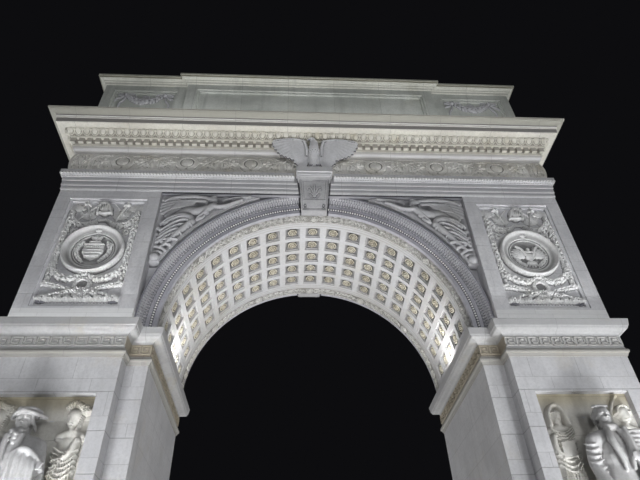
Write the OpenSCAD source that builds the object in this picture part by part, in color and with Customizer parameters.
// Single-bay triumphal arch in marble masonry, front towards -Y, ground at z = 0

/* [Opening] */
// Clear width between the pier strips
span = 9144; // [9000:1:9300]
// Height of the top of the imposts, where the arch starts
impost_top = 9694; // [9600:1:9800]
// Height of the arch centre above the impost tops
stilt = 192; // [120:1:260]
// Depth of the passage, from front strip face to back strip face
passage_depth = 4840; // [4700:1:4950]
// Wall between the crown of the arch and the architrave
crown_cover = 405; // [380:1:450]

/* [Piers] */
// Width of a pier's main block
pier_width = 3319; // [3250:1:3400]
// Depth of a pier's main block, front to back
pier_depth = 5814; // [5700:1:5900]
// Width of the narrower strip that lines the passage
strip_width = 575; // [540:1:620]
// Height of the base course
plinth_height = 3000; // [2800:1:3100]
// Height of the top of the recessed panel in each shaft
shaft_panel_top = 7650; // [7500:1:7800]
// Depth of the recessed panels of the shafts
shaft_panel_depth = 190; // [120:1:240]
// Width of the recessed panels of the piers
pier_panel_width = 2490; // [2400:1:2560]

/* [Vault] */
// Number of coffers round the vault
coffer_columns = 19; // [19:2:19]
// Number of coffers through the depth
coffer_rows = 5; // [3:1:5]
// Angle from coffer to coffer
coffer_angle = 9.1; // [8.8:0.1:9.2]
// Distance from coffer to coffer through the depth
coffer_pitch = 690; // [660:1:720]
// Side of a coffer where it opens
coffer_side = 520; // [460:1:560]
// Thickness of the vault lining
lining = 330; // [300:1:360]

/* [Entablature] */
// Height of the architrave
architrave_height = 882; // [860:1:900]
// Height of the frieze
frieze_height = 990; // [960:1:1020]
// Height of the bed mould and the dentils
dentil_course_height = 715; // [700:1:740]
// Height of the egg course
egg_course_height = 190; // [170:1:210]
// Height of the corona and the cyma above it
cornice_height = 520; // [500:1:540]
// Number of dentils along the front
dentils_front = 61; // [51:1:71]
// Number of dentils along an end
dentils_end = 22; // [16:1:26]

/* [Attic] */
// Height of the attic block
attic_height = 3050; // [2900:1:3200]
// Height of the attic cornice
attic_cornice_height = 340; // [300:1:380]
// How far the attic block stands behind the piers' faces
attic_inset = 55; // [30:1:80]
// Half of the length of the centre part that breaks forward
centre_half = 5080; // [4900:1:5200]
// How far the centre part breaks forward
centre_break = 142; // [120:1:180]

/* [Figures] */
// Height of a standing figure
figure_height = 4050; // [3900:1:4200]
// Radius of the medallion rings
medallion_radius = 920; // [840:1:960]
// How far the medallion rings stand off their panels
medallion_height = 245; // [200:1:260]
// How far the ground of the spandrel figures stands off the wall
spandrel_ground = 200; // [140:1:240]
// How far the spandrel figures stand off the wall
spandrel_relief = 290; // [240:1:320]
// Span of the eagle's wings
wing_span = 3000; // [2800:1:3100]

/* [Hidden] */
$fn = 96;

radius = span / 2;
centre_z = impost_top + stilt;
strip_y = passage_depth / 2;
pier_y = pier_depth / 2;
pier_in = radius + strip_width;
pier_out = pier_in + pier_width;
pier_mid = (pier_in + pier_out) / 2;
impost_height = 1039;
impost_base = impost_top - impost_height;
architrave_z = centre_z + radius + crown_cover;
frieze_z = architrave_z + architrave_height;
dentil_z = frieze_z + frieze_height;
egg_z = dentil_z + dentil_course_height;
cornice_z = egg_z + egg_course_height;
attic_z = cornice_z + cornice_height;
attic_cornice_z = attic_z + attic_height;
extrados = radius + lining;
vault_end = strip_y - 120;
archivolt_out = pier_in;
attic_x = pier_out - attic_inset;
attic_y = pier_y - attic_inset;
centre_y = attic_y + centre_break;
margin = 1500;

// Points along an arc, from angle a to angle b
function arc(cx, cy, r, a, b, n = 6) = [for (i = [0:n]) [cx + r * cos(a + (b - a) * i / n),
    cy + r * sin(a + (b - a) * i / n)]];

// Cyma recta from (p0, z0) outwards and up to (p1, z1), hollow first
function cyma(p0, z0, p1, z1, n = 8) = [for (i = [0:n]) let (t = i / n)
    [p0 + (p1 - p0) * (t - sin(360 * t) / 9), z0 + (z1 - z0) * (t + sin(360 * t) / 12)]];

// Smooth closed outline through the points
function outline(p, n = 3) = let (m = len(p)) [for (i = [0:m - 1]) for (j = [0:n - 1])
    through(p[(i + m - 1) % m], p[i], p[(i + 1) % m], p[(i + 2) % m], j / n)];

// Point at t on the curve from b to c, whose neighbours are a and d
function through(a, b, c, d, t) = (2 * b + (c - a) * t + (2 * a - 5 * b + 4 * c - d) * t * t
    + (3 * b - a - 3 * c + d) * t * t * t) / 2;

// Smooth line through the points, which may hold a width as a third number
function line_through(p, n = 3) = let (m = len(p)) concat([for (i = [0:m - 2]) for (j = [0:n - 1])
    through(p[max(i - 1, 0)], p[i], p[i + 1], p[min(i + 2, m - 1)], j / n)], [p[m - 1]]);

// Outline of a tapered band along a line of [x, z, width]
function band(p, n = 3) = let (q = line_through(p, n), m = len(q), side = [for (i = [0:m - 1])
    let (d = q[min(i + 1, m - 1)] - q[max(i - 1, 0)], long = norm([d[0], d[1]])) [-d[1], d[0]] / long])
    concat([for (i = [0:m - 1]) [q[i][0], q[i][1]] + side[i] * q[i][2] / 2],
        [for (i = [m - 1:-1:0]) [q[i][0], q[i][1]] - side[i] * q[i][2] / 2]);

// Profile points moved up by z
function lifted(points, z) = [for (q = points) [q[0], q[1] + z]];

// Block with the same moulded profile on its four sides: profile points are [projection, height]
module moulded_block(x0, x1, y0, y1, profile) {
    n = len(profile);
    along_x = concat([for (q = profile) [x0 - q[0], q[1]]],
        [for (i = [n - 1:-1:0]) [x1 + profile[i][0], profile[i][1]]]);
    along_y = concat([for (q = profile) [y0 - q[0], q[1]]],
        [for (i = [n - 1:-1:0]) [y1 + profile[i][0], profile[i][1]]]);
    intersection() {
        translate([0, y1 + margin, 0]) rotate([90, 0, 0])
            linear_extrude(y1 - y0 + 2 * margin) polygon(along_x);
        translate([x0 - margin, 0, 0]) rotate([90, 0, 90])
            linear_extrude(x1 - x0 + 2 * margin) polygon(along_y);
    }
}

// The moulded plan of a right-hand pier: main block and passage strip together
module pier_moulding(profile) {
    moulded_block(pier_in, pier_out, -pier_y, pier_y, profile);
    moulded_block(radius, pier_in + 400, -strip_y, strip_y, profile);
}

module on_side(side) {
    mirror([side < 0 ? 1 : 0, 0, 0]) children();
}

module on_face(face) {
    mirror([0, face > 0 ? 1 : 0, 0]) children();
}

// Base course of a pier
plinth_profile = concat([[300, 0], [300, 450]], arc(240, 530, 80, -60, 90, 5), [[200, 610]],
    arc(200, 730, 100, -90, -180, 5), [[100, plinth_height - 450]],
    arc(280, plinth_height - 420, 180, 180, 90, 5), [[300, plinth_height - 240],
    [300, plinth_height - 70], [60, plinth_height]]);

module pier_plinth(side) {
    color("gainsboro") on_side(side) difference() {
        pier_moulding(plinth_profile);
        translate([pier_mid - pedestal_half, -pier_y - margin, -1])
            cube([2 * pedestal_half, margin, plinth_height + 2]);
    }
}

// Pedestal that carries a statue, built against the pier
pedestal_half = 1000;
pedestal_depth = 720;
pedestal_profile = [for (q = plinth_profile) [q[0] - 60, q[1]]];

module statue_pedestal(side) {
    color("gainsboro") on_side(side) intersection() {
        moulded_block(pier_mid - pedestal_half + 240, pier_mid + pedestal_half - 240,
            -pier_y - pedestal_depth, -pier_y, pedestal_profile);
        translate([pier_mid - pedestal_half, -pier_y - margin, 0])
            cube([2 * pedestal_half, margin, plinth_height]);
    }
}

// Ashlar shaft of a pier with a recessed panel in its front and back
shaft_panel_z = plinth_height + 150;

module pier_panel_cut(z0, z1, depth) {
    translate([pier_mid - pier_panel_width / 2, -pier_y - 1, z0])
        cube([pier_panel_width, depth + 1, z1 - z0]);
}

module pier_shaft(side) {
    color("whitesmoke") on_side(side) difference() {
        union() {
            translate([pier_in, -pier_y, plinth_height])
                cube([pier_width, pier_depth, impost_base - plinth_height]);
            translate([radius, -strip_y, plinth_height])
                cube([strip_width, passage_depth, impost_base - plinth_height]);
        }
        pier_panel_cut(shaft_panel_z, shaft_panel_top, shaft_panel_depth);
        on_face(1) pier_panel_cut(shaft_panel_z, shaft_panel_top, shaft_panel_depth);
    }
}

// Carved slab behind a statue, with a robed figure on each side of it
robe_outline = outline([[-320, shaft_panel_z + 10], [-350, 4300], [-300, 5500], [-340, 6300],
    [-290, 6620], [-110, 6740], [110, 6740], [290, 6620], [340, 6300], [300, 5500], [350, 4300],
    [320, shaft_panel_z + 10]], 2);
figure_places = [-860, 890];

module relief_panel(side) {
    slab = 70;
    floor_y = -pier_y + shaft_panel_depth;
    color("tan") on_side(side) {
        translate([pier_mid - pier_panel_width / 2, floor_y - slab, shaft_panel_z])
            cube([pier_panel_width, slab, shaft_panel_top - shaft_panel_z]);
        for (x = figure_places) translate([pier_mid + x, floor_y - slab + 5, 0]) robed_relief();
    }
}

// Standing robed figure in relief, with folds and a covered head
module robed_relief() {
    rotate([90, 0, 0]) {
        linear_extrude(90) polygon(robe_outline);
        for (k = [-2:2]) linear_extrude(120)
            polygon(band([[100 * k, 3200, 60], [110 * k, 4500, 70], [70 * k, 5900, 50]], 2));
        linear_extrude(100) polygon(outline([[-200, 6820], [-215, 7060], [-130, 7290], [70, 7330],
            [200, 7180], [190, 6820]], 2));
        linear_extrude(130) polygon(outline([[-150, 6950], [-120, 7130], [20, 7170], [110, 7040], [80, 6860],
            [-40, 6780]], 2));
    }
}

// Rings of a lofted body: each row is [height, x, y, half width, half depth]
module loft(rows, sides = 20) {
    n = len(rows);
    points = [for (r = rows) for (i = [0:sides - 1])
        [r[1] + r[3] * cos(360 * i / sides), r[2] + r[4] * sin(360 * i / sides), r[0]]];
    quads = [for (k = [0:n - 2]) for (i = [0:sides - 1]) let (next = (i + 1) % sides)
        [k * sides + i, (k + 1) * sides + i, (k + 1) * sides + next, k * sides + next]];
    bottom = [for (i = [0:sides - 1]) i];
    top = [for (i = [sides - 1:-1:0]) (n - 1) * sides + i];
    polyhedron(points, concat(quads, [bottom], [top]), convexity = 4);
}

statue_y = -pier_y - 340;
head_r = figure_height * 0.058;

module limb(p0, r0, p1, r1) {
    hull() {
        translate(p0) sphere(r = r0, $fn = 16);
        translate(p1) sphere(r = r1, $fn = 16);
    }
}

module egg(wide, high) {
    rotate_extrude($fn = 32)
        polygon([for (i = [0:10]) let (a = 18 * i - 90) [wide * cos(a), high * sin(a)]]);
}

// Body of a standing figure in a long coat, and its head
module figure_body(h) {
    loft([[0, 0, 10, 0.17 * h, 0.085 * h], [0.03 * h, 0, 10, 0.165 * h, 0.085 * h],
        [0.3 * h, 0, 20, 0.14 * h, 0.08 * h], [0.5 * h, 0, 0, 0.115 * h, 0.07 * h],
        [0.62 * h, 0, 0, 0.10 * h, 0.062 * h], [0.75 * h, 0, 0, 0.13 * h, 0.068 * h],
        [0.80 * h, 0, 0, 0.145 * h, 0.062 * h], [0.835 * h, 0, 0, 0.07 * h, 0.05 * h],
        [0.85 * h, 0, -10, 0.042 * h, 0.042 * h], [0.90 * h, 0, -20, 0.04 * h, 0.04 * h]]);
    translate([0, -30, 0.93 * h]) egg(0.86 * head_r, 1.06 * head_r);
}

// Left figure: cocked hat, and a cloak that hangs open over both arms
module cloaked_figure(h) {
    figure_body(h);
    limb([-0.13 * h, 0, 0.78 * h], 0.045 * h, [-0.15 * h, -0.03 * h, 0.66 * h], 0.036 * h);
    limb([-0.15 * h, -0.03 * h, 0.66 * h], 0.036 * h, [-0.13 * h, -0.11 * h, 0.66 * h], 0.026 * h);
    limb([0.13 * h, 0, 0.78 * h], 0.045 * h, [0.155 * h, -0.02 * h, 0.66 * h], 0.036 * h);
    limb([0.155 * h, -0.02 * h, 0.66 * h], 0.036 * h, [0.07 * h, -0.10 * h, 0.60 * h], 0.026 * h);
    loft([[0.06 * h, 0, 150, 0.19 * h, 0.04 * h], [0.45 * h, 0, 130, 0.18 * h, 0.045 * h],
        [0.70 * h, 0, 90, 0.17 * h, 0.05 * h], [0.81 * h, 0, 60, 0.12 * h, 0.045 * h]], 16);
    translate([0, -20, 0.965 * h]) linear_extrude(0.028 * h)
        polygon(h * outline([[-0.10, 0.04], [-0.055, -0.05], [0, -0.085], [0.055, -0.05], [0.10, 0.04],
            [0, 0.065]]));
    translate([0, 0, 0.975 * h]) egg(0.05 * h, 0.043 * h);
}

// Right figure: bare head, and a robe gathered over the arm on its left side
module robed_figure(h) {
    figure_body(h);
    limb([-0.13 * h, 0, 0.78 * h], 0.045 * h, [-0.15 * h, 0, 0.64 * h], 0.036 * h);
    limb([-0.15 * h, 0, 0.64 * h], 0.036 * h, [-0.125 * h, -0.06 * h, 0.52 * h], 0.028 * h);
    limb([0.13 * h, 0, 0.78 * h], 0.045 * h, [0.14 * h, -0.03 * h, 0.66 * h], 0.038 * h);
    limb([0.14 * h, -0.03 * h, 0.66 * h], 0.038 * h, [0.06 * h, -0.10 * h, 0.65 * h], 0.026 * h);
    loft([[0.05 * h, 0.05 * h, 40, 0.135 * h, 0.085 * h], [0.45 * h, 0.05 * h, 20, 0.13 * h, 0.09 * h],
        [0.70 * h, 0.07 * h, 0, 0.115 * h, 0.085 * h], [0.82 * h, 0.08 * h, 20, 0.07 * h, 0.05 * h]], 16);
    translate([0, 25, 0.95 * h]) sphere(r = 0.052 * h, $fn = 24);
}

module statue(side) {
    color("white") translate([side * pier_mid, statue_y, plinth_height]) {
        if (side < 0) cloaked_figure(figure_height);
        if (side > 0) robed_figure(figure_height);
    }
}

// Impost: rounded necking, key band, cyma and crown
impost_profile = lifted(concat([[0, 0], [20, 0]], arc(15, 145, 75, -60, 70, 6), [[13, 308], [16, 320],
    [16, 600], [22, 629]], cyma(26, 640, 250, 820), [[267, 838], [300, 1015], [300, 1039]]), impost_base);

module impost(side) {
    color("white") on_side(side) pier_moulding(impost_profile);
}

// Upper pier block with recessed moulded panels
upper_panel_low = impost_top + 544;
upper_panel_high = architrave_z - 360;
upper_panel_depth = 150;
frame_width = 90;

module upper_panel_cut() {
    pier_panel_cut(upper_panel_low, upper_panel_high, 60);
    translate([pier_mid - pier_panel_width / 2 + frame_width, -pier_y, upper_panel_low + frame_width])
        cube([pier_panel_width - 2 * frame_width, upper_panel_depth,
            upper_panel_high - upper_panel_low - 2 * frame_width]);
}

module upper_pier(side) {
    color("gainsboro") on_side(side) difference() {
        translate([pier_in, -pier_y, impost_top]) cube([pier_width, pier_depth, architrave_z - impost_top]);
        upper_panel_cut();
        on_face(1) upper_panel_cut();
    }
}

// Carved filling of an upper panel: medallion ring with a shield, festoons, drops, trophies and branches
medallion_z = 12350;
panel_middle = (upper_panel_low + upper_panel_high) / 2;
ring_profile = [[medallion_radius - 260, 0], [medallion_radius - 260, 70], [medallion_radius - 215, 95],
    [medallion_radius - 150, 130], [medallion_radius - 90, medallion_height - 30],
    [medallion_radius - 50, medallion_height], [medallion_radius - 15, medallion_height - 20],
    [medallion_radius, medallion_height - 60], [medallion_radius, 0]];
shield_outline = outline([[-230, 240], [0, 215], [230, 240], [235, 60], [170, -190], [0, -330], [-170, -190],
    [-235, 60]], 2);

module raised(high) {
    linear_extrude(high) children();
}

module panel_trophies() {
    raised(130) polygon(outline([[-200, 1470], [-235, 1700], [-120, 1890], [110, 1900], [250, 1740],
        [240, 1470], [0, 1430]], 2));
    raised(90) translate([-180, 1210]) square([360, 120]);
    for (k = [-1, 1]) {
        raised(70) polygon(outline([[220 * k, 1300], [600 * k, 1240], [900 * k, 1420], [1060 * k, 1700],
            [1020 * k, 2020], [700 * k, 1960], [420 * k, 1980], [290 * k, 1620]], 2));
        raised(110) polygon(band([[640 * k, 1990, 75], [400 * k, 1230, 50]], 1));
        raised(95) polygon(band([[220 * k, 2010, 45], [600 * k, 1540, 50], [840 * k, 1210, 35]], 1));
    }
}

module panel_festoons() {
    for (k = [-1, 1]) {
        raised(100) polygon(band([[1030 * k, 1600, 160], [1055 * k, 800, 190], [1050 * k, 0, 170],
            [1045 * k, -1240, 140]], 2));
        raised(120) polygon(band([[1020 * k, 1560, 90], [880 * k, 1150, 170], [620 * k, 1020, 190],
            [330 * k, 1080, 160], [90 * k, 1250, 90]]));
        raised(145) polygon(band([[1050 * k, -360, 80], [1000 * k, -760, 150], [700 * k, -1060, 190],
            [340 * k, -1130, 170], [60 * k, -960, 70]]));
        raised(120) polygon(band([[1120 * k, -1830, 200], [720 * k, -1700, 150], [300 * k, -1560, 90],
            [-130 * k, -1440, 50]], 2));
        raised(100) polygon(band([[1080 * k, -1260, 150], [720 * k, -1370, 100], [330 * k, -1470, 60],
            [-110 * k, -1610, 50]], 2));
    }
}

module medallion(side, face) {
    floor_y = pier_y - upper_panel_depth;
    color("whitesmoke") on_face(face) on_side(side) translate([pier_mid, -floor_y, medallion_z])
    rotate([90, 0, 0]) union() {
        rotate_extrude($fn = 60) polygon(ring_profile);
        cylinder(r = medallion_radius - 250, h = 40, $fn = 60);
        raised(120) polygon(shield_outline);
        raised(130) for (z = [-110, 20, 150]) translate([-210 + abs(z - 20) / 5, z])
            square([420 - abs(z - 20) / 2.5, 55]);
        panel_trophies();
        panel_festoons();
        translate([0, -1320, 0]) rotate_extrude($fn = 36)
            polygon([[170, 0], [175, 90], [215, 140], [265, 120], [290, 60], [290, 0]]);
        raised(140) translate([0, -990]) circle(r = 80, $fn = 24);
        raised(130) translate([-1130, -2010]) square([2260, 200]);
    }
}

// Masonry between vault, pier and architrave, one half each side of the crown
module spandrel_wall(side) {
    color("gainsboro") on_side(side) translate([0, strip_y, 0]) rotate([90, 0, 0])
    linear_extrude(passage_depth) difference() {
        translate([0, impost_top]) square([pier_in, architrave_z - impost_top]);
        translate([0, centre_z]) circle(r = extrados, $fn = 180);
        translate([0, impost_top - 1]) square([extrados, stilt + 1]);
    }
}

// Winged figure in relief that fills the corner between archivolt and pier, and flies towards the crown.
// Its lines are [distance from the middle, height, width]
wing_outline = outline([[3560, 14810], [4100, 14850], [4620, 14840], [5060, 14790], [5100, 14600],
    [5030, 14560], [5095, 14420], [5015, 14380], [5080, 14240], [4990, 14210], [5060, 14080],
    [4970, 13990], [4850, 13890],
    [4570, 13960], [4330, 14230], [3960, 14250], [3700, 14260]], 2);
figure_lines = [
    [[3420, 14560, 240], [3540, 14300, 300], [3740, 14130, 340], [3980, 14060, 300]],
    [[3680, 14100, 280], [3980, 14150, 330], [4270, 14120, 300], [4490, 14010, 160]],
    [[3440, 14390, 170], [3230, 14330, 140], [2980, 14360, 130], [2700, 14480, 110], [2440, 14600, 90]],
    [[3060, 14620, 60], [2570, 14720, 60], [2220, 14760, 80], [2010, 14780, 130]],
    [[4480, 13870, 240], [4250, 13870, 300], [4060, 13780, 260], [4010, 13620, 180]],
    [[4020, 13620, 230], [4210, 13400, 210], [4410, 13120, 180], [4630, 12800, 140], [4830, 12530, 110]],
    [[4000, 13800, 60], [4280, 13900, 80], [4570, 13830, 80], [4790, 13680, 70], [4990, 13460, 60]],
    [[4000, 13450, 60], [4130, 13680, 90], [4330, 13690, 90], [4590, 13520, 80], [4780, 13340, 70],
        [4970, 13170, 50]],
    [[4250, 13240, 50], [4430, 13300, 80], [4650, 13180, 80], [4850, 12980, 60], [5030, 12780, 50]],
    [[4390, 12860, 60], [4590, 12870, 90], [4810, 12820, 80], [5020, 12720, 60]],
    [[4670, 12460, 100], [4830, 12550, 130], [5000, 12590, 100]]];

module victory(side, face) {
    gap = 110;
    tip = 1860;
    color("whitesmoke") on_face(face) on_side(side) translate([0, -strip_y, 0]) rotate([90, 0, 0])
    intersection() {
        union() {
            linear_extrude(spandrel_ground)
                translate([tip, 12020]) square([pier_in - tip, architrave_z - 12020]);
            linear_extrude(spandrel_relief - 25) polygon(wing_outline);
            for (q = figure_lines) linear_extrude(spandrel_relief - 10) polygon(band(q, 2));
            translate([3350, 14660, spandrel_relief - 130]) sphere(r = 150, $fn = 72);
            translate([4960, 12170, spandrel_ground - 40]) sphere(r = 140, $fn = 72);
        }
        linear_extrude(spandrel_relief + 60) difference() {
            translate([tip, 0]) square([pier_in - 20 - tip, architrave_z - 15]);
            translate([0, centre_z]) circle(r = archivolt_out + gap, $fn = 180);
        }
    }
}

// Vault lining between two angles, with stepped coffers
module coffer() {
    for (step = [[0, 70], [50, 130], [95, 190]])
        translate([0, -coffer_side / 2 + step[0], -coffer_side / 2 + step[0]])
            cube([step[1], coffer_side - 2 * step[0], coffer_side - 2 * step[0]]);
}

module lining_ring(a0, a1) {
    rotate([0, -a0, 0]) rotate([90, 0, 0]) rotate_extrude(angle = a1 - a0, $fn = 180)
        translate([radius, -vault_end]) square([lining, 2 * vault_end]);
}

module vault_part(a0, a1) {
    translate([0, 0, centre_z]) difference() {
        lining_ring(a0, a1);
        for (k = [-(coffer_columns - 1) / 2:(coffer_columns - 1) / 2])
            let (a = 90 + k * coffer_angle)
                if (a > a0 && a < a1)
                    for (j = [-(coffer_rows - 1) / 2:(coffer_rows - 1) / 2])
                        rotate([0, -a, 0]) translate([radius - 12, coffer_pitch * j, 0]) coffer();
    }
}

crown_half = 1.5 * coffer_angle;
haunch_end = 5.5 * coffer_angle;

module vault_crown() {
    color("cornsilk") vault_part(90 - crown_half, 90 + crown_half);
}

module vault_haunch(side) {
    color("cornsilk") on_side(side) vault_part(90 - haunch_end, 90 - crown_half);
}

module vault_foot(side) {
    color("cornsilk") on_side(side) {
        vault_part(0, 90 - haunch_end);
        translate([radius, -vault_end, impost_top]) cube([lining, 2 * vault_end, stilt]);
    }
}

// Archivolt: two fascias, bead rows, a bold leaf moulding and an outer fillet that meets the architrave
archivolt_reach = 320;
archivolt_profile = concat([[radius, vault_end], [radius, strip_y], [radius + 143, strip_y]],
    arc(radius + 163, strip_y + 16, 20, 180, 0, 4),
    [[radius + 183, strip_y + 40], [radius + 323, strip_y + 40]],
    arc(radius + 343, strip_y + 60, 20, 180, 0, 4), [[radius + 365, strip_y + 75]],
    [for (q = cyma(strip_y + 80, radius + 370, strip_y + archivolt_reach - 20, archivolt_out - 60))
    [q[1], q[0]]], [[archivolt_out - 50, strip_y + archivolt_reach],
    [archivolt_out, strip_y + archivolt_reach], [archivolt_out, strip_y], [extrados, strip_y],
    [extrados, vault_end]]);

module archivolt(face) {
    color("whitesmoke") on_face(face) for (side = [-1, 1]) on_side(side) {
        intersection() {
            translate([0, 0, centre_z]) rotate([90, 0, 0])
                rotate_extrude(angle = 90 - key_angle, $fn = 180) polygon(archivolt_profile);
            translate([0, -pier_y, centre_z]) cube([pier_in + 1, pier_y, architrave_z - centre_z]);
        }
        translate([0, 0, impost_top]) linear_extrude(stilt)
            polygon([for (q = archivolt_profile) [q[0], -q[1]]]);
    }
}

// Console keystone with radial sides, a face that swells forward as it rises, and a moulded cap
key_low = centre_z + radius - 20;
key_cap_z = frieze_z - 380;
key_top = frieze_z + 80;
key_angle = 5.47;
key_half_high = (key_top - centre_z) * tan(key_angle);
key_face = [[90, 0], [150, 30], [225, 80], [300, 150], [370, 230], [430, 320], [490, 420], [545, 530],
    [600, 660], [650, 780], [700, 890], [735, key_cap_z - key_low]];

module keystone_wedge() {
    low = key_low - 60;
    half_low = (low - centre_z) * tan(key_angle);
    translate([0, -vault_end + 40, 0]) rotate([90, 0, 0]) linear_extrude(2000)
        polygon([[-half_low, low], [half_low, low], [key_half_high, key_top], [-key_half_high, key_top]]);
}

module keystone(face) {
    color("lightgray") on_face(face) {
        intersection() {
            keystone_wedge();
            translate([-2000, 0, 0]) rotate([90, 0, 90]) linear_extrude(4000)
                polygon(concat([for (q = key_face) [-strip_y - q[0], key_low + q[1]]], [[-pier_y, key_cap_z],
                    [-pier_y, architrave_z], [-vault_end, architrave_z], [-vault_end, key_low]]));
        }
        key_cap();
    }
}

module key_cap() {
    back = pier_y + 75;
    moulded_cap = concat(lifted([[-30, 0], [-10, 30], [-10, 60], [10, 90], [16, 130], [20, 190], [55, 205]],
        key_cap_z), [[55, key_top - 10], [45, key_top]]);
    intersection() {
        moulded_block(-key_half_high, key_half_high, -strip_y - 865, -strip_y, moulded_cap);
        union() {
            translate([-1000, -4500, key_cap_z]) cube([2000, 4500 - back, key_top - key_cap_z]);
            translate([-key_half_high, -4500, key_cap_z]) cube([2 * key_half_high, 4500 - pier_y,
                frieze_z - key_cap_z]);
        }
    }
}

// Eagle with spread wings on the keystone's cap, its head turned to one side
eagle_y = -pier_y - 300;
wing_edge = outline([[90, 1250], [200, 1500], [360, 1560], [700, 1545], [1150, 1530], [1440, 1480],
    [1500, 1330], [1440, 1160], [1310, 900], [1150, 640], [950, 470], [780, 370], [590, 70], [400, 10],
    [180, 40], [90, 400]], 2);

module wing() {
    rotate([90, 0, 0]) {
        linear_extrude(90) polygon([for (q = wing_edge) [q[0] * wing_span / 3000, q[1]]]);
        linear_extrude(150) polygon(band([[180, 1000, 160], [260, 1400, 190], [460, 1480, 150],
            [900, 1470, 120], [1330, 1420, 80]], 2));
        linear_extrude(130) polygon(band([[330, 1300, 380], [360, 700, 460], [380, 160, 330]], 2));
    }
}

module eagle(face) {
    color("white") on_face(face) translate([0, eagle_y, key_top]) {
        loft([[0, 0, 30, 150, 110], [250, 0, 20, 120, 100], [600, 0, 0, 190, 150],
            [1000, 0, -20, 180, 150], [1250, 0, -40, 110, 110], [1400, 0, -60, 95, 100],
            [1560, -10, -80, 105, 115], [1650, -20, -80, 60, 70]], 16);
        limb([-60, -110, 1560], 55, [-190, -150, 1530], 25);
        for (k = [-1, 1]) {
            on_side(k) translate([60, 70, 0]) wing();
            limb([100 * k, -60, 520], 100, [120 * k, -80, 90], 60);
        }
    }
}

// Architrave: three fascias, bead and leaf crown
architrave_profile = lifted(concat([[0, 0], [26, 55], [26, 215], [44, 223], [44, 427], [62, 435],
    [62, 607], [90, 617], [90, 642], [108, 664]], arc(100, 735, 62, -50, 30, 5),
    [[170, 790], [170, 882]]), architrave_z);

module architrave() {
    color("gainsboro") difference() {
        moulded_block(-pier_out, pier_out, -pier_y, pier_y, architrave_profile);
        for (face = [-1, 1]) on_face(face) architrave_notch();
    }
}

module architrave_notch() {
    intersection() {
        union() {
            keystone_wedge();
            translate([-key_half_high - 120, -4500, key_cap_z]) cube([2 * key_half_high + 240, 4500, 2000]);
        }
        translate([-1000, -pier_y - 1000, architrave_z - 1]) cube([2000, 1000, architrave_height + 2]);
    }
}

// Frieze, bulging outwards
frieze_profile = [for (i = [0:10]) let (t = i / 10) [70 * sin(180 * t), frieze_z + frieze_height * t]];

module frieze() {
    color("darkgray") moulded_block(-pier_out, pier_out, -pier_y, pier_y, frieze_profile);
}

// Bed mould with the row of dentils
bed_profile = concat([[20, dentil_z], [20, dentil_z + 25]], cyma(24, dentil_z + 30, 140, dentil_z + 270),
    [[150, dentil_z + 285], [150, dentil_z + dentil_course_height]]);
dentil_reach = 245;
dentil_depth = 95;
dentil_low = dentil_z + 400;
dentil_high = dentil_z + 625;
dentil_width = 178;

// One edge of the comb-shaped plan: teeth with notches between them
function comb(length, count) = let (pitch = (length - dentil_width) / (count - 1))
    [for (i = [0:count - 1]) each (i < count - 1
        ? [[i * pitch, 0], [i * pitch + dentil_width, 0], [i * pitch + dentil_width, dentil_depth],
            [(i + 1) * pitch, dentil_depth]]
        : [[i * pitch, 0]])];

function turned(points, a, x, y) = [for (q = points)
    [x + q[0] * cos(a) - q[1] * sin(a), y + q[0] * sin(a) + q[1] * cos(a)]];

module dentil_course() {
    hx = pier_out + dentil_reach;
    hy = pier_y + dentil_reach;
    color("whitesmoke") union() {
        moulded_block(-pier_out, pier_out, -pier_y, pier_y, bed_profile);
        translate([0, 0, dentil_low]) linear_extrude(dentil_high - dentil_low) polygon(concat(
            turned(comb(2 * hx, dentils_front), 0, -hx, -hy),
            turned(comb(2 * hy, dentils_end), 90, hx, -hy),
            turned(comb(2 * hx, dentils_front), 180, hx, hy),
            turned(comb(2 * hy, dentils_end), 270, -hx, hy)));
        moulded_block(-pier_out, pier_out, -pier_y, pier_y,
            [[265, dentil_high], [275, dentil_high + 20], [275, egg_z]]);
    }
}

// Rounded course under the cornice
egg_profile = concat([[290, egg_z]], arc(290, egg_z + 175, 175, -80, 0, 6), [[465, cornice_z]]);

module egg_course() {
    color("whitesmoke") moulded_block(-pier_out, pier_out, -pier_y, pier_y, egg_profile);
}

// Corona with its wide soffit, fillets, cyma and top fillet
cornice_profile = concat([[700, cornice_z], [705, cornice_z + 12], [732, cornice_z + 12],
    [745, cornice_z + 210], [765, cornice_z + 222], [765, cornice_z + 262], [755, cornice_z + 270],
    [755, cornice_z + 295], [786, cornice_z + 305], [786, cornice_z + 325]],
    cyma(790, cornice_z + 330, 1010, cornice_z + 440), [[1031, cornice_z + 448], [1031, attic_z]]);

module cornice() {
    color("gainsboro") moulded_block(-pier_out, pier_out, -pier_y, pier_y, cornice_profile);
}

// Attic block with recessed panels
end_panel_in = centre_half + 420;
end_panel_out = attic_x - 380;
attic_panel_low = attic_z + 550;
attic_panel_high = attic_cornice_z - 330;
attic_panel_depth = 140;

module attic_panel_cut(x0, x1, y) {
    translate([x0, -y - 1, attic_panel_low]) cube([x1 - x0, 61, attic_panel_high - attic_panel_low]);
    translate([x0 + frame_width, -y - 1, attic_panel_low + frame_width])
        cube([x1 - x0 - 2 * frame_width, attic_panel_depth + 1,
            attic_panel_high - attic_panel_low - 2 * frame_width]);
}

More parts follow.
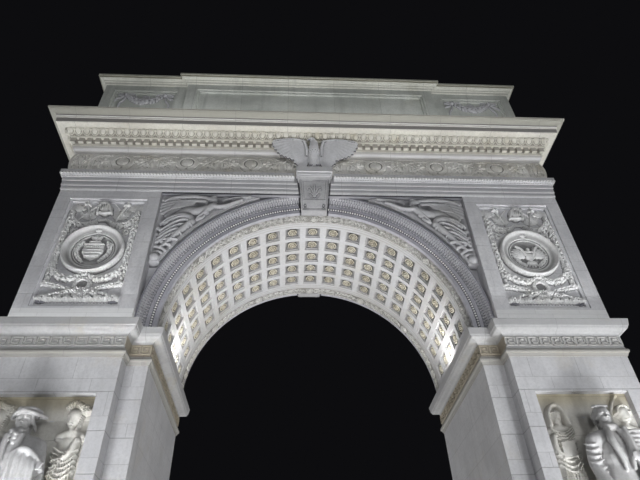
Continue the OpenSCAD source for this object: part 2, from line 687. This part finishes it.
module attic() {
    color("gainsboro") difference() {
        union() {
            translate([-attic_x, -attic_y, attic_z]) cube([2 * attic_x, 2 * attic_y, attic_height]);
            translate([-centre_half, -centre_y, attic_z])
                cube([2 * centre_half, 2 * centre_y, attic_height]);
        }
        for (face = [-1, 1]) on_face(face) {
            attic_panel_cut(-centre_half + 420, centre_half - 420, centre_y);
            for (side = [-1, 1]) on_side(side) attic_panel_cut(end_panel_in, end_panel_out, attic_y);
        }
        for (turn = [90, 270]) rotate([0, 0, turn]) attic_panel_cut(-1800, 1800, attic_x);
    }
}

// Swag between two ribbon knots with bows and tails, in an end panel of the attic
swag_line = [[-790, -20, 120], [-450, -320, 290], [0, -460, 380], [450, -320, 290], [790, -20, 120]];
ribbon_lines = [[[800, 20, 60], [960, 90, 90], [1130, 20, 60]],
    [[800, -40, 60], [990, -220, 100], [1150, -330, 60]],
    [[780, -60, 60], [860, -380, 110], [980, -780, 70]], [[720, 50, 60], [520, 100, 80], [410, -20, 50]]];

module garland() {
    middle = (end_panel_in + end_panel_out) / 2;
    knots = attic_panel_high - 200;
    translate([middle, -attic_y + attic_panel_depth, knots]) rotate([90, 0, 0]) {
        linear_extrude(90) polygon(band(swag_line, 4));
        linear_extrude(125) polygon(band([for (q = swag_line) [q[0], q[1], q[2] * 0.6]], 4));
        for (k = [-1, 1]) on_side(k) {
            for (q = ribbon_lines) linear_extrude(65) polygon(band(q, 2));
            translate([780, 0, 0]) cylinder(r = 95, h = 130, $fn = 24);
        }
    }
}

module garlands(face) {
    color("whitesmoke") on_face(face) for (side = [-1, 1]) on_side(side) garland();
}

// Cornice of the attic, with the same break as the block below
attic_cornice_profile = lifted(concat([[0, 0], [45, 10], [50, 50], [75, 60], [75, 90], [120, 105],
    [125, 125]], cyma(130, 130, 250, 190), [[262, 195], [262, 235], [285, 245], [310, 250], [310, 340]]),
    attic_cornice_z);

module attic_cornice() {
    color("gainsboro") union() {
        moulded_block(-attic_x, attic_x, -attic_y, attic_y, attic_cornice_profile);
        moulded_block(-centre_half, centre_half, -centre_y, centre_y, attic_cornice_profile);
    }
}

// Low stone roof inside the edge of the attic cornice
roof_rise = 160;

module roof() {
    z = attic_cornice_z + attic_cornice_height;
    color("silver") moulded_block(-attic_x + 200, attic_x - 200, -attic_y + 200, attic_y - 200,
        [[0, z], [0, z + 60], [-attic_y + 400, z + roof_rise]]);
}

pier_plinth(-1);  // left_pier_plinth
pier_plinth(1);  // right_pier_plinth
statue_pedestal(-1);  // left_statue_pedestal
statue_pedestal(1);  // right_statue_pedestal
pier_shaft(-1);  // left_pier_shaft
pier_shaft(1);  // right_pier_shaft
relief_panel(-1);  // left_relief_panel
relief_panel(1);  // right_relief_panel
statue(-1);  // left_statue
statue(1);  // right_statue
impost(-1);  // left_impost
impost(1);  // right_impost
upper_pier(-1);  // left_upper_pier
upper_pier(1);  // right_upper_pier
medallion(-1, -1);  // front_left_medallion
medallion(1, -1);  // front_right_medallion
medallion(-1, 1);  // back_left_medallion
medallion(1, 1);  // back_right_medallion
spandrel_wall(-1);  // left_spandrel_wall
spandrel_wall(1);  // right_spandrel_wall
victory(-1, -1);  // front_left_victory
victory(1, -1);  // front_right_victory
victory(-1, 1);  // back_left_victory
victory(1, 1);  // back_right_victory
vault_foot(-1);  // vault_left_foot
vault_haunch(-1);  // vault_left_haunch
vault_crown();
vault_haunch(1);  // vault_right_haunch
vault_foot(1);  // vault_right_foot
archivolt(-1);  // front_archivolt
archivolt(1);  // back_archivolt
keystone(-1);  // front_keystone
keystone(1);  // back_keystone
eagle(-1);  // front_eagle
eagle(1);  // back_eagle
architrave();
frieze();
dentil_course();
egg_course();
cornice();
attic();
garlands(-1);  // front_garlands
garlands(1);  // back_garlands
attic_cornice();
roof();
